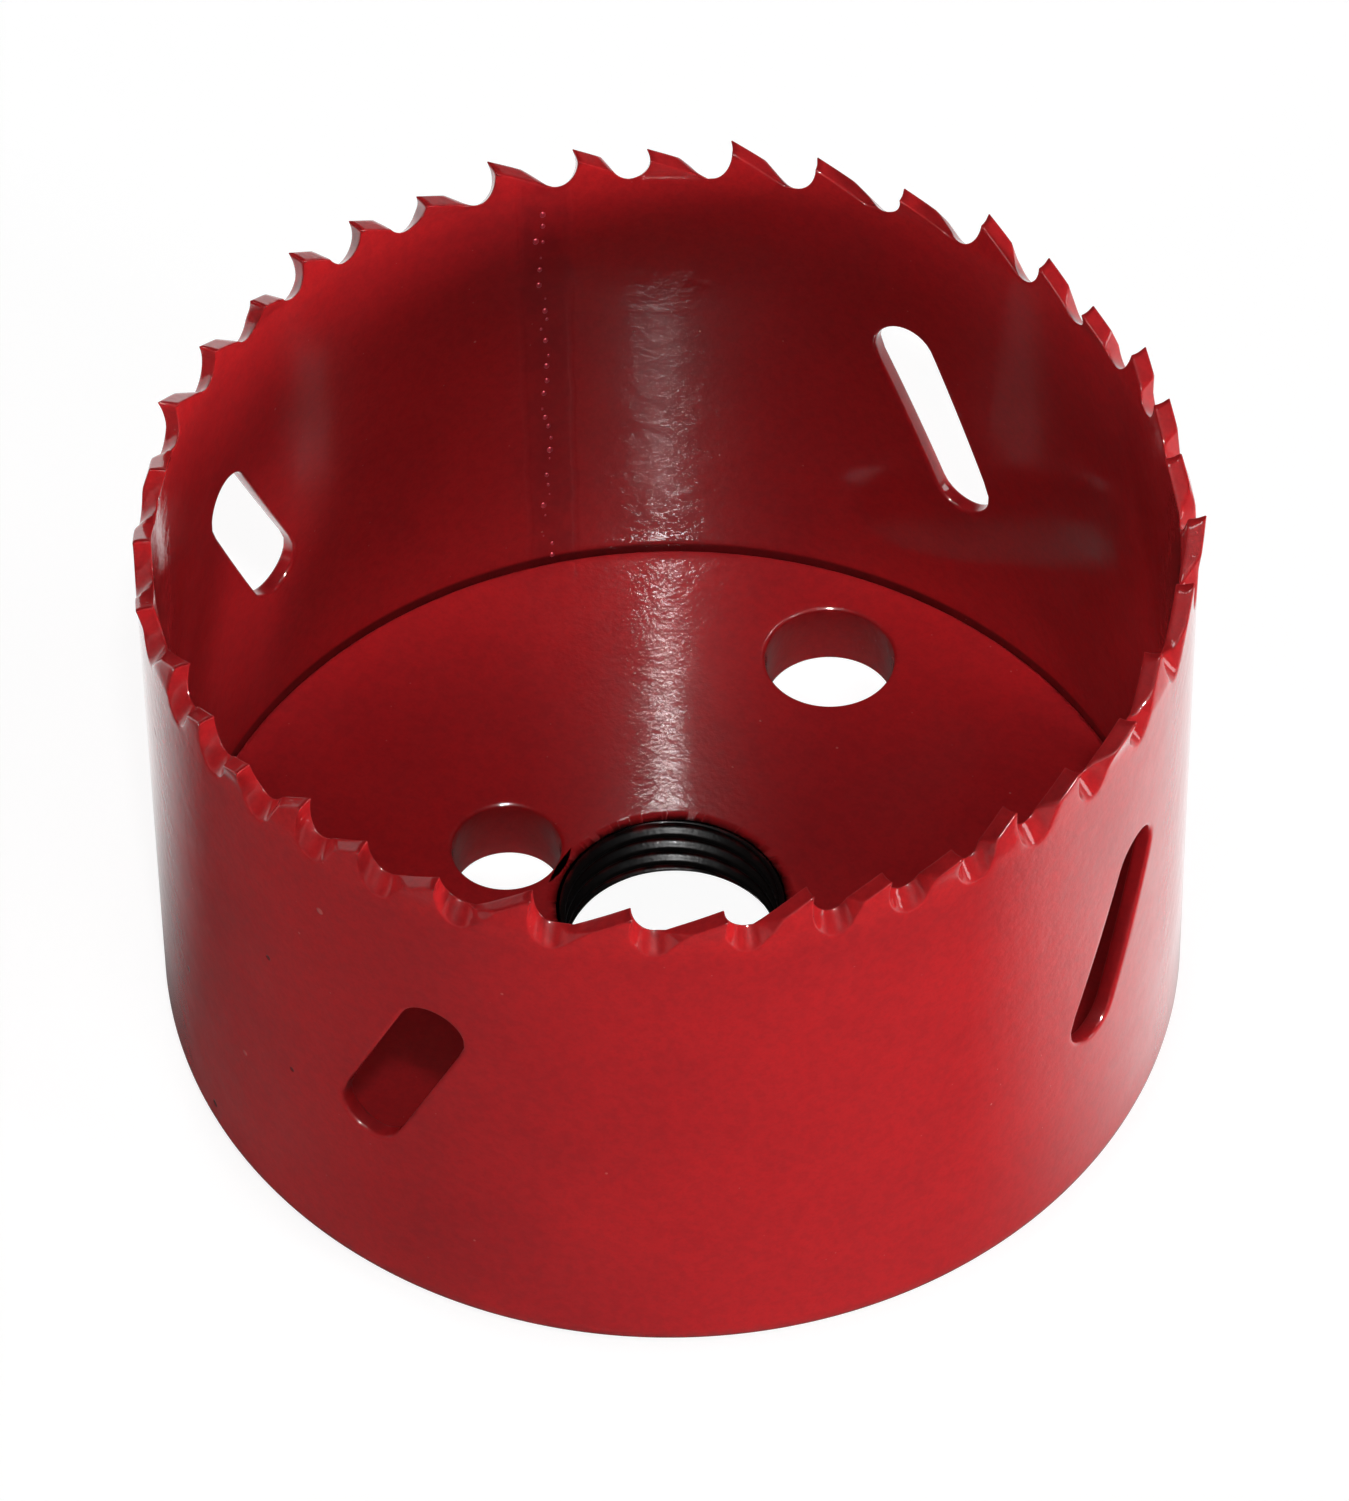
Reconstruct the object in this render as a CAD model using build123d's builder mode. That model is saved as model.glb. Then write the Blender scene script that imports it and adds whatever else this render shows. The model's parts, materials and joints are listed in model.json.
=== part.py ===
"""Hole saw: a rolled strip wall with set teeth, welded round a thick back plate.

Millimetres. +Z points along the spindle from the back plate to the teeth. The
origin is where the spindle axis meets the underside of the back plate, and +X
and +Y run through two of the four slots. The teeth point anticlockwise seen
from the toothed end, so the saw cuts clockwise seen from the drill.
"""

from build123d import *
import os
from math import asin, atan2, cos, degrees, hypot, radians, sin, sqrt, tan

# ---- saw wall ------------------------------------------------------------
cutting_diameter = 70.0    # across the outer corners of the teeth set outward
wall_diameter = 69.1       # outside of the rolled strip
wall_thickness = 1.2
overall_height = 43.8      # underside of the plate to the tooth tips
heel_radius = 2.7          # rounding ground round the welded bottom edge

# ---- teeth ---------------------------------------------------------------
tooth_height = 3.55        # tip to gullet bottom, at the outside of the wall
gullet_radius = 1.45
gullet_lead = 1.2          # gullet centre ahead of the tip, along the rim
gullet_slant = 48.0        # the gullet climbs this steeply from outside to inside
land_share = 0.38          # part of the pitch that the relief land takes
land_angle = 29.0          # relief land below the horizontal
bend_rise = 0.05           # the set starts this far above the gullets' inside ends
set_inward = 0.6           # how far an inward tooth's tip is bent in
raker_groups = 13          # groups of straight, inward and outward teeth
pitch_cycle = (5.04, 5.66, 5.97, 6.56, 6.08, 5.65, 5.32, 4.98, 4.88)
weld_pitch = 5.79          # pitch left across the butt weld
weld_angle = 136.3         # butt weld of the strip, anticlockwise from +X
weld_to_tip = 2.3          # from the weld, clockwise to the first tip

# ---- slots in the wall ---------------------------------------------------
slot_angles = (359.1, 89.0, 180.0, 271.7)
slot_length = 16.1
slot_width = 4.6
slot_tilt = 25.2           # top leans anticlockwise
slot_centre_height = 23.4

# ---- back plate ----------------------------------------------------------
plate_thickness = 5.15
rim_bevel = 0.45           # bevel on the plate's inside rim, at the weld
plate_turn = 6.1           # how far the hole pattern is turned from the slots
bore_diameter = 14.5       # minor diameter of the 5/8-18 arbor thread
bore_bevel = 0.35
pin_circle_diameter = 25.1
pin_hole_diameter = 7.5
knockout_circle_diameter = 50.5
knockout_diameter = 9.0
seat_gap = 0.01            # plate rim to wall, closed by the weld

overcut = 1.0              # how far cutters run past the faces they cut
least_step = 0.05          # shortest edge that a cutter is given

# ---- what follows from them ----------------------------------------------
wall_radius = wall_diameter / 2
bore_of_wall = wall_radius - wall_thickness
plate_radius = bore_of_wall - seat_gap
cutting_radius = cutting_diameter / 2
set_outward = cutting_radius - wall_radius
gullet_floor = overall_height - tooth_height
gullet_climb = wall_thickness * tan(radians(gullet_slant))
gullet_crest = gullet_floor + gullet_climb    # gullet bottom at the inside of the wall
bend_start = gullet_crest + bend_rise
slot_face = wall_radius + overcut
slot_depth = wall_thickness + 3 * overcut
rim_face = cutting_radius + overcut
rim_depth = set_outward + wall_thickness + set_inward + 3 * overcut


def heel_height(radius):
    """Height of the heel rounding at a radius; zero inside it."""
    run = max(0.0, radius - (wall_radius - heel_radius))
    return heel_radius - sqrt(max(0.0, heel_radius**2 - run**2))


def heel_point(radius):
    """Point on the heel rounding in an upright plane."""
    return (radius, heel_height(radius))


def heel_bevel_foot(radius):
    """Where the line touching the heel rounding at a radius meets the underside."""
    slope = asin((radius - (wall_radius - heel_radius)) / heel_radius)
    return radius - heel_height(radius) / tan(slope)


def radial_plane(angle):
    """Upright plane through the axis: x outward, y up."""
    a = radians(angle)
    return Plane(origin=(0, 0, 0), x_dir=(cos(a), sin(a), 0), z_dir=(sin(a), -cos(a), 0))


def facing_plane(angle, radius, height=0.0):
    """Upright plane seen from outside: x anticlockwise, y up, normal outward."""
    a = radians(angle)
    return Plane(
        origin=(radius * cos(a), radius * sin(a), height),
        x_dir=(-sin(a), cos(a), 0),
        z_dir=(cos(a), sin(a), 0),
    )


def tip_layout():
    """Angles of the tips, clockwise from the weld, scaled to close the rim."""
    count = 3 * raker_groups
    steps = [pitch_cycle[i % len(pitch_cycle)] for i in range(count - 1)]
    turn = 360.0 / (sum(steps) + weld_pitch)
    angles = [weld_angle - weld_to_tip * turn]
    for step in steps:
        angles.append(angles[-1] - step * turn)
    return angles


tip_angles = tip_layout()
lead_angle = degrees(gullet_lead / cutting_radius)
gullet_angles = [tip + lead_angle for tip in tip_angles]
leans = (0.0, -set_inward, set_outward)    # straight, inward, outward


def tangent_point(point, centre, radius, side):
    """Where the line from point touches the circle, on the given side."""
    dx, dy = centre[0] - point[0], centre[1] - point[1]
    far = hypot(dx, dy)
    reach = sqrt(far**2 - radius**2)
    aim = atan2(dy, dx) + side * asin(radius / far)
    return (point[0] + reach * cos(aim), point[1] + reach * sin(aim))


def gullet_outline(k):
    """Corners of the gullet and of the land between tip k and the tip before it.

    Seen from outside: the rake of tip k is on the left, and the relief land of
    the tooth before is on the right. The gullet is square to its own slanted
    axis and starts at its floor; the land is in the facing plane at the gullet.
    """
    lift = cos(radians(gullet_slant))
    ahead = radians(tip_angles[k - 1] - gullet_angles[k]) % radians(360)
    tip = (-cutting_radius * sin(radians(lead_angle)), tooth_height * lift)
    next_tip = (cutting_radius * sin(ahead), tooth_height * lift)
    run = land_share * (next_tip[0] - tip[0])
    slope = tan(radians(land_angle))
    land_end = (next_tip[0] - run, next_tip[1] - run * slope * lift)
    centre = (0.0, gullet_radius)
    rake_foot = tangent_point(tip, centre, gullet_radius, -1)
    relief_foot = tangent_point(land_end, centre, gullet_radius, 1)
    top = tip[1] + overcut
    hook = (tip[0] - rake_foot[0]) / (tip[1] - rake_foot[1])
    rake_top = (tip[0] + hook * (top - tip[1]), top)
    relief = (land_end[0] - relief_foot[0]) / (land_end[1] - relief_foot[1])
    relief_top = (land_end[0] + relief * (top - land_end[1]), top)
    gullet = (rake_top, rake_foot, (0.0, 0.0), relief_foot, relief_top)
    reach = max(least_step, next_tip[0] - (overall_height - gullet_crest) / slope)
    land_foot = (reach, overall_height - (next_tip[0] - reach) * slope)
    land_top = (next_tip[0] + overcut / slope, overall_height + overcut)
    land = ((0.0, overall_height + overcut), (0.0, land_foot[1]), land_foot, land_top)
    return gullet, land


def wall_length(k):
    """Length of the strip that carries tooth k, from gullet to gullet."""
    clockwise_end = gullet_angles[(k + 1) % len(gullet_angles)]
    lean = leans[k % 3]
    heel_in = heel_point(bore_of_wall)
    heel_middle = heel_point((bore_of_wall + wall_radius) / 2)
    heel_out = heel_point(wall_radius)
    with BuildPart() as length:
        with BuildSketch(radial_plane(clockwise_end)):
            with BuildLine():
                Polyline(
                    heel_in,
                    (bore_of_wall, bend_start),
                    (bore_of_wall + lean, overall_height),
                    (wall_radius + lean, overall_height),
                    (wall_radius, bend_start),
                    heel_out,
                )
                ThreePointArc(heel_out, heel_middle, heel_in)
            make_face()
        revolve(axis=Axis.Z, revolution_arc=(gullet_angles[k] - clockwise_end) % 360)
    return length.part


def gullet_plane(angle):
    """Plane square to the slanted gullet, through its floor at the wall's outside."""
    slant = radians(gullet_slant)
    facing = facing_plane(angle, wall_radius, gullet_floor)
    out, up = facing.z_dir, Vector(0, 0, 1)
    return Plane(
        origin=facing.origin,
        x_dir=facing.x_dir,
        z_dir=out * cos(slant) - up * sin(slant),
    )


def gullet_cut(k):
    """Cutters for the slanted gullet and for the level land between two tips."""
    gullet, land = gullet_outline(k)
    rake_top, rake_foot, floor, relief_foot, relief_top = gullet
    with BuildPart() as cut:
        with BuildSketch(gullet_plane(gullet_angles[k])):
            with BuildLine():
                Line(rake_top, rake_foot)
                ThreePointArc(rake_foot, floor, relief_foot)
                Polyline(relief_foot, relief_top, rake_top)
            make_face()
        extrude(amount=rim_depth, both=True)
        with BuildSketch(facing_plane(gullet_angles[k], rim_face)):
            with BuildLine():
                Polyline(*land, close=True)
            make_face()
        extrude(amount=-rim_depth)
    return cut.part


wall_lengths = [wall_length(k) for k in range(len(tip_angles))]
gullet_cuts = [gullet_cut(k) for k in range(len(tip_angles))]

# ---- saw wall ------------------------------------------------------------
with BuildPart() as saw_wall:
    add(wall_lengths)
    add(gullet_cuts, mode=Mode.SUBTRACT)
    for slot_angle in slot_angles:
        with BuildSketch(facing_plane(slot_angle, slot_face, slot_centre_height)):
            SlotOverall(slot_length, slot_width, rotation=90 - slot_tilt)
        extrude(amount=-slot_depth, mode=Mode.SUBTRACT)

saw_wall.part.label = "saw_wall"

# ---- back plate ----------------------------------------------------------
heel_bevel_radius = heel_bevel_foot(plate_radius)    # the plate's share of the heel is flat

with BuildPart() as back_plate:
    with BuildSketch(Plane.XZ):
        with BuildLine():
            Polyline(
                (0, 0),
                (heel_bevel_radius, 0),
                heel_point(plate_radius),
                (plate_radius, plate_thickness - rim_bevel),
                (plate_radius - rim_bevel, plate_thickness),
                (0, plate_thickness),
                close=True,
            )
        make_face()
    revolve(axis=Axis.Z)

    # arbor bore, drive pin holes and knock-out holes
    with Locations((0, 0, plate_thickness)):
        Hole(bore_diameter / 2)
    bore_wall = back_plate.faces().filter_by(GeomType.CYLINDER).sort_by(lambda face: face.radius)[0]
    chamfer(bore_wall.edges().filter_by(GeomType.CIRCLE), bore_bevel)
    with Locations((0, 0, plate_thickness)):
        with PolarLocations(pin_circle_diameter / 2, 2, start_angle=plate_turn):
            Hole(pin_hole_diameter / 2)
        with PolarLocations(knockout_circle_diameter / 2, 2, start_angle=plate_turn + 90):
            Hole(knockout_diameter / 2)

back_plate.part.label = "back_plate"

os.makedirs("parts", exist_ok=True)
export_step(saw_wall.part, "parts/saw_wall.step")
export_step(back_plate.part, "parts/back_plate.step")
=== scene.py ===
"""Hole saw: a rolled wall with set teeth, round a threaded back plate, both enamelled red.

The saw stands on its back plate with its teeth upward. The frame's solids give every
place: +Z runs along the spindle, from the underside of the plate to the tooth tips.
"""

import bisect
import json
from math import acos, asin, atan2, cos, hypot, pi, radians, sin, sqrt, tan

import bmesh
import bpy
from bpy.props import FloatProperty, FloatVectorProperty, PointerProperty
from bpy.types import Operator, Panel, PropertyGroup
from mathutils import Matrix, Vector
from mathutils.geometry import delaunay_2d_cdt


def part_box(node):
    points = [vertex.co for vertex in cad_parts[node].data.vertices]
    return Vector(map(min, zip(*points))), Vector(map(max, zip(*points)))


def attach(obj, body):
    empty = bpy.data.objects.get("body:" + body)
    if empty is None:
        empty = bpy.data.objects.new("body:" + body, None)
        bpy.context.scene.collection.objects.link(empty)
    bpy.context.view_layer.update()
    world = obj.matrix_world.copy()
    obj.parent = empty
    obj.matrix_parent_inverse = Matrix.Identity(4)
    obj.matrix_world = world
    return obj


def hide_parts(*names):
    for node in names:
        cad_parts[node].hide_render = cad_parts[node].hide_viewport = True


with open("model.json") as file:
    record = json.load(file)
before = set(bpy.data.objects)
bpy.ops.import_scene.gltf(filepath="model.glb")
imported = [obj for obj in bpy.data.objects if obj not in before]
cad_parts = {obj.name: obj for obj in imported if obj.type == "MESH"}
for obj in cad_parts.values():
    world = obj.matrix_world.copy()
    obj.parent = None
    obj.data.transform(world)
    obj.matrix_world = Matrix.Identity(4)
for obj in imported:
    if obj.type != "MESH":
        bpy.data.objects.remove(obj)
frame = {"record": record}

bl_info = {
    "name": "Hole Saw",
    "version": (1, 0, 0),
    "blender": (4, 5, 0),
    "location": "3D View > Sidebar > Hole Saw",
    "description": "Makes a hole saw with set teeth and its enamel finish",
    "category": "Object",
}

# ---- places that the frame gives -----------------------------------------------
WALL_LOW, WALL_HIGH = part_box("saw_wall")
PLATE_LOW, PLATE_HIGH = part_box("back_plate")
MOUNTS = {mount["name"]: mount for mount in frame["record"]["mounts"]}
BORE_RADIUS = MOUNTS["arbor_thread"]["dims"]["r_mm"] / 1000
PIN_RADIUS = MOUNTS["drive_pin_a"]["dims"]["r_mm"] / 1000
PIN_PLACE = Vector(MOUNTS["drive_pin_a"]["pos_m"])
PLATE_TURN = atan2(PIN_PLACE.y, PIN_PLACE.x)
PLATE_THICKNESS = PLATE_HIGH.z - PLATE_LOW.z

# ---- how finely the pieces are meshed, in metres ---------------------------------
TOOTH_COUNT = 39
RAKE_POINTS, LAND_POINTS, RELIEF_POINTS = 11, 6, 11
RAKE_OVERRUN = 0.0015    # the rake is drawn this far past the tip, then trimmed
TIP_FLAT = 0.0001        # from the tip to the first point down its land
LEAST_LAND = 0.00005
SEARCH_STEP = 0.00001
TOOTH_BAND = 0.00175     # the tooth band starts this far under the gullet floor
LATTICE_STEP = 0.0004    # points that fill the tooth band, along the strip
LATTICE_RISE = 0.00045   # and up it
LATTICE_CLEAR = 0.0002   # and clear of its outline
PATCH_RISE = 0.010       # a slot's patch reaches this far above and below its middle
PATCH_REACH = 0.008      # and this far to each side
FOOT_ROWS, PATCH_ROWS, TOP_ROWS = 8, 14, 4
WALL_WELD = 2e-6
PLATE_WELD = 1e-6
PLATE_MARGIN = 0.0009    # level ring beside the plate's bevel and its heel
BORE_MARGIN = 0.0014     # and round the bore
BORE_EDGE = 0.00018      # rounding of the bore before the thread is cut
RIM_SOFT = 0.00012       # enamel over the corners of the rim bevel

# ---- marks in the enamel: angle in degrees, height and size in millimetres ------
DARK_MARKS = (
    (227.8, 33.7, 0.34),
    (234.4, 14.4, 0.30),
    (239.7, 3.9, 0.36),
    (256.3, 17.1, 0.26),
    (253.5, 26.9, 0.30),
)
PALE_MARKS = ((247.8, 14.2, 0.28), (262.2, 35.7, 0.30))

# ---- studio ----------------------------------------------------------------------
WHITE = (1.0, 1.0, 1.0, 1.0)
# The floor glows on this side for glossy rays only: painted light, seen as a painted reflection in
# the saw.
BRIGHT_SIDE = (-0.2, 0.98, 0.0)    # the side of the floor that shows in the gloss
LAMPS = (
    # name, place, width, watts, and what the lamp is left out of
    ("overhead", (0.04, -0.07, 1.0), 0.22, 0.8, None),
    ("key", (0.448, -0.573, 1.078), 0.06, 3.4, None),
    ("bright", (0.432, -0.666, 1.054), 0.07, 80.0, "visible_diffuse"),
    ("side", (1.0, 0.62, 0.45), 0.45, 2.6, None),
    ("left", (-0.35, -0.94, 0.10), 0.18, 2.6, "visible_glossy"),
    ("front", (1.0, 0.0, 0.10), 0.18, 8.6, "visible_glossy"),
    ("back", (-0.71, 0.71, 0.15), 0.25, 4.5, "visible_glossy"),
)


# ---- sizes and colours that a user may change ---------------------------------
def length(name, description, default):
    """A property in metres."""
    return FloatProperty(
        name=name, description=description, default=default, unit="LENGTH", precision=5
    )


def turn(name, description, degrees):
    """A property in degrees."""
    return FloatProperty(
        name=name, description=description, default=radians(degrees), subtype="ANGLE"
    )


def point(name, description, default):
    """A place in metres."""
    return FloatVectorProperty(
        name=name,
        description=description,
        size=3,
        default=default,
        subtype="TRANSLATION",
        unit="LENGTH",
    )


def colour(name, description, default):
    """A colour without its alpha."""
    return FloatVectorProperty(
        name=name,
        description=description,
        size=3,
        default=default,
        min=0.0,
        max=1.0,
        subtype="COLOR",
    )


class HoleSawWallSizes(PropertyGroup):
    wall_radius: length("Wall radius", "Outside of the rolled strip", 0.03455)
    wall_thickness: length("Wall thickness", "Thickness of the rolled strip", 0.0012)
    tip_height: length("Tip height", "Underside of the plate to the tooth tips", WALL_HIGH.z)
    tooth_height: length("Tooth height", "Tip to gullet bottom", 0.00355)
    gullet_radius: length("Gullet radius", "Radius of the round gullet", 0.00145)
    gullet_lead: length("Gullet lead", "Gullet centre ahead of the tip, along the rim", 0.0012)
    gullet_slant: turn("Gullet slant", "How steeply the gullet climbs from outside to inside", 48.0)
    land_share: FloatProperty(
        name="Land share",
        description="Part of the pitch that the relief land takes",
        default=0.38,
        subtype="FACTOR",
    )
    land_angle: turn("Land angle", "Relief land below the horizontal", 29.0)
    bend_rise: length("Bend rise", "Start of the set above the gullets' inside ends", 0.00005)
    set_inward: length("Set inward", "How far an inward tooth's tip is bent in", 0.0006)
    set_outward: length("Set outward", "How far an outward tooth's tip is bent out", 0.00045)
    pitch_cycle: FloatVectorProperty(
        name="Pitch cycle",
        description="Tip to tip, clockwise from the weld, over nine teeth",
        size=9,
        default=(0.00504, 0.00566, 0.00597, 0.00656, 0.00608, 0.00565, 0.00532, 0.00498, 0.00488),
        unit="LENGTH",
    )
    weld_pitch: length("Weld pitch", "Pitch left across the butt weld of the strip", 0.00579)
    weld_angle: turn("Weld angle", "Butt weld of the strip, anticlockwise from +X", 136.3)
    weld_to_tip: length("Weld to first tip", "From the weld, clockwise to the first tip", 0.0023)
    slot_angles: FloatVectorProperty(
        name="Slot angles",
        description="Places of the four slots, anticlockwise from +X",
        size=4,
        default=(radians(359.1), radians(89.0), radians(180.0), radians(271.7)),
        subtype="NONE",
    )
    slot_length: length("Slot length", "Overall length of a slot", 0.0161)
    slot_width: length("Slot width", "Width of a slot", 0.0046)
    slot_tilt: turn("Slot tilt", "The slot's top leans anticlockwise by this much", 25.2)
    slot_height: length("Slot height", "Underside of the plate to the middle of a slot", 0.0234)
    heel_radius: length("Heel radius", "Rounding ground round the welded bottom edge", 0.0027)
    tooth_edge: length("Tooth edge rounding", "Radius of the enamel over the tooth edges", 0.00011)
    slot_edge: length("Slot edge rounding", "Radius of the enamel over the slot edges", 0.00026)


class HoleSawPlateSizes(PropertyGroup):
    knockout_circle_radius: length(
        "Knock-out circle radius", "Circle through the centres of the knock-out holes", 0.02525
    )
    knockout_radius: length("Knock-out radius", "Radius of a knock-out hole", 0.0045)
    rim_bevel: length("Rim bevel", "Bevel on the plate's inside rim, at the weld", 0.00045)
    hole_edge: length("Hole edge rounding", "Radius of the enamel over the hole edges", 0.0003)
    bore_bevel: length("Bore bevel", "Countersink at both ends of the thread", 0.00035)
    thread_pitch: length("Thread pitch", "18 turns of the arbor thread to the inch", 0.0254 / 18)
    thread_depth: length("Thread depth", "Root of the arbor thread outside its crest", 0.00046)


class HoleSawFinish(PropertyGroup):
    enamel: colour("Enamel", "The stoved enamel", (0.45, 0.012, 0.015))
    # The lighter tooth red below is painted light, standing in for the light that falls on the
    # teeth.
    enamel_painted_light: colour("Painted tooth light", "Lighter red painted on the teeth as light", (0.56, 0.016, 0.018))
    enamel_deep: colour("Deep enamel", "Where the enamel has pooled", (0.20, 0.008, 0.012))
    # The black below also serves as painted shade in the wall's inside corner.
    black_oxide_and_shade: colour("Black oxide", "The blackened thread, soot, and painted corner shade", (0.006, 0.005, 0.005))
    nib_colour: colour("Nibs", "Fine nibs in the enamel", (0.62, 0.16, 0.14))
    peel_size: length("Orange peel size", "Width of the waves in the enamel", 0.0011)


class HoleSawStage(PropertyGroup):
    floor_size: length("Floor size", "Side of the square floor", 6.0)
    camera_place: point("Camera place", "Where the camera stands", (0.2166, -0.3400, 0.4726))
    camera_aim: point("Camera aim", "What the camera looks at", (0.000272, 0.000173, 0.02095))
    camera_roll: turn("Camera roll", "Turn of the camera about its own view", -0.849)
    lens: FloatProperty(
        name="Lens",
        description="Focal length in millimetres on a 36 mm high frame",
        default=218.01,
    )


# ---- mesh helpers ---------------------------------------------------------------
def new_piece(name, mesh):
    """An object at the origin that shows the mesh."""
    piece = bpy.data.objects.new(name, mesh)
    bpy.context.scene.collection.objects.link(piece)
    return piece


def merge_doubles(work, weld):
    """Merges corners that are closer than the weld."""
    bmesh.ops.remove_doubles(work, verts=work.verts, dist=weld)
    bmesh.ops.dissolve_degenerate(work, edges=work.edges, dist=weld)


def made_mesh(work, name):
    """A mesh from bmesh work, its faces outward and shaded smooth."""
    bmesh.ops.recalc_face_normals(work, faces=work.faces)
    mesh = bpy.data.meshes.new(name)
    work.to_mesh(mesh)
    work.free()
    mesh.shade_smooth()
    return mesh


def part_way(start, end, share):
    """The point between two others by a share."""
    return (start[0] + (end[0] - start[0]) * share, start[1] + (end[1] - start[1]) * share)


# ---- node helpers ---------------------------------------------------------------
class Tree:
    """A node tree under construction: nodes are added and joined in one call."""

    def __init__(self, tree):
        self.tree = tree

    def fill(self, socket, value):
        """Joins a socket to another node's output, or sets its value."""
        if isinstance(value, bpy.types.NodeSocket):
            self.tree.links.new(value, socket)
        else:
            socket.default_value = value

    def node(self, kind, settings=None, **inputs):
        """A node with its settings, and its inputs given by name or as in_0, in_1."""
        made = self.tree.nodes.new(kind)
        for key, value in (settings or {}).items():
            setattr(made, key, value)
        for key, value in inputs.items():
            spot = int(key[3:]) if key.startswith("in_") else key.replace("_", " ")
            self.fill(made.inputs[spot], value)
        return made

    def math(self, operation, *values, clamp=False):
        """The result of a Math node."""
        made = self.node("ShaderNodeMath", {"operation": operation, "use_clamp": clamp})
        for socket, value in zip(made.inputs, values):
            self.fill(socket, value)
        return made.outputs["Value"]

    def vector_math(self, operation, *values):
        """A Vector Math node's outputs: its Vector and its Value."""
        made = self.node("ShaderNodeVectorMath", {"operation": operation})
        for socket, value in zip(made.inputs, values):
            self.fill(socket, value)
        return made.outputs

    def vector(self, x, y, z):
        """Three numbers as one vector."""
        return self.node("ShaderNodeCombineXYZ", X=x, Y=y, Z=z).outputs["Vector"]

    def parts(self, vector):
        """A vector's X, Y and Z."""
        return self.node("ShaderNodeSeparateXYZ", Vector=vector).outputs

    def polar(self, radius, angle, height):
        """A place from its distance and angle round the axis, and its height."""
        across = self.math("MULTIPLY", radius, self.math("COSINE", angle))
        along = self.math("MULTIPLY", radius, self.math("SINE", angle))
        return self.vector(across, along, height)

    def ramp(self, value, low, high, start=0.0, end=1.0):
        """A soft step from start to end as the value goes from low to high."""
        return self.node(
            "ShaderNodeMapRange",
            {"interpolation_type": "SMOOTHSTEP"},
            Value=value,
            From_Min=low,
            From_Max=high,
            To_Min=start,
            To_Max=end,
        ).outputs["Result"]

    def place(self, geometry, position):
        """The geometry with its corners at new places."""
        return self.node(
            "GeometryNodeSetPosition", Geometry=geometry, Position=position
        ).outputs["Geometry"]

    def finish(self, geometry, material, result):
        """Ends a geometry tree with Realize Instances and Set Material."""
        solid = self.node("GeometryNodeRealizeInstances", Geometry=geometry)
        dressed = self.node(
            "GeometryNodeSetMaterial", Geometry=solid.outputs["Geometry"], Material=material
        )
        self.fill(result, dressed.outputs["Geometry"])


def geometry_tree(name, floats, ints=(), vectors=()):
    """A geometry tree with a mesh in and out, its named sizes and its material."""
    tree = bpy.data.node_groups.new(name, "GeometryNodeTree")
    sockets = [("Geometry", "Geometry"), ("Material", "Material")]
    sockets += [(label, "Float") for label in floats]
    sockets += [(label, "Int") for label in ints]
    sockets += [(label, "Vector") for label in vectors]
    for label, kind in sockets:
        tree.interface.new_socket(label, in_out="INPUT", socket_type="NodeSocket" + kind)
    tree.interface.new_socket("Geometry", in_out="OUTPUT", socket_type="NodeSocketGeometry")
    given = tree.nodes.new("NodeGroupInput")
    result = tree.nodes.new("NodeGroupOutput")
    return Tree(tree), given.outputs, result.inputs["Geometry"]


def bake(piece, tree, values, even_shading=True):
    """Runs a geometry tree on a piece and keeps what it gives as a plain mesh."""
    modifier = piece.modifiers.new(tree.name, "NODES")
    modifier.node_group = tree
    for item in tree.interface.items_tree:
        if item.item_type == "SOCKET" and item.in_out == "INPUT" and item.name in values:
            modifier[item.identifier] = values[item.name]
    if even_shading:
        piece.modifiers.new("even_shading", "WEIGHTED_NORMAL")
    graph = bpy.context.evaluated_depsgraph_get()
    mesh = bpy.data.meshes.new_from_object(piece.evaluated_get(graph), depsgraph=graph)
    mesh.name = piece.name
    piece.modifiers.clear()
    piece.data = mesh


# ---- the wall: a flat strip with teeth and slots -------------------------------
def tip_turns(sizes):
    """Angles from the weld clockwise to each tip, scaled to close the rim."""
    cycle = sizes.pitch_cycle
    steps = [cycle[k % len(cycle)] for k in range(TOOTH_COUNT - 1)]
    scale = 2 * pi / (sum(steps) + sizes.weld_pitch)
    turns = [sizes.weld_to_tip * scale]
    for step in steps:
        turns.append(turns[-1] + step * scale)
    return turns


def tangent_point(point, centre, radius, side):
    """Where the line from point touches the circle, on the given side."""
    across, up = centre[0] - point[0], centre[1] - point[1]
    far = hypot(across, up)
    reach = sqrt(far**2 - radius**2)
    aim = atan2(up, across) + side * asin(radius / far)
    return (point[0] + reach * cos(aim), point[1] + reach * sin(aim))


def between(start, end, count):
    """Points along a straight run, its end left out."""
    run, rise = end[0] - start[0], end[1] - start[1]
    return [(start[0] + run * i / count, start[1] + rise * i / count) for i in range(count)]


def arc_between(start, end, centre, radius, count):
    """Points along the gullet's arc through its bottom, the end left out."""
    first = atan2(start[1] - centre[1], start[0] - centre[0])
    last = atan2(end[1] - centre[1], end[0] - centre[0])
    while last < first:
        last += 2 * pi
    turns = [first + (last - first) * i / count for i in range(count)]
    return [(centre[0] + radius * cos(a), centre[1] + radius * sin(a)) for a in turns]


def evenly(points, count):
    """Points spaced evenly along a run, its end left out."""
    lengths = [0.0]
    for a, b in zip(points, points[1:]):
        lengths.append(lengths[-1] + hypot(b[0] - a[0], b[1] - a[1]))
    spaced = []
    for i in range(count):
        target = lengths[-1] * i / count
        spot = min(max(bisect.bisect_right(lengths, target) - 1, 0), len(points) - 2)
        span = lengths[spot + 1] - lengths[spot]
        share = (target - lengths[spot]) / span if span > 0 else 0.0
        spaced.append(part_way(points[spot], points[spot + 1], share))
    return spaced


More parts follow.
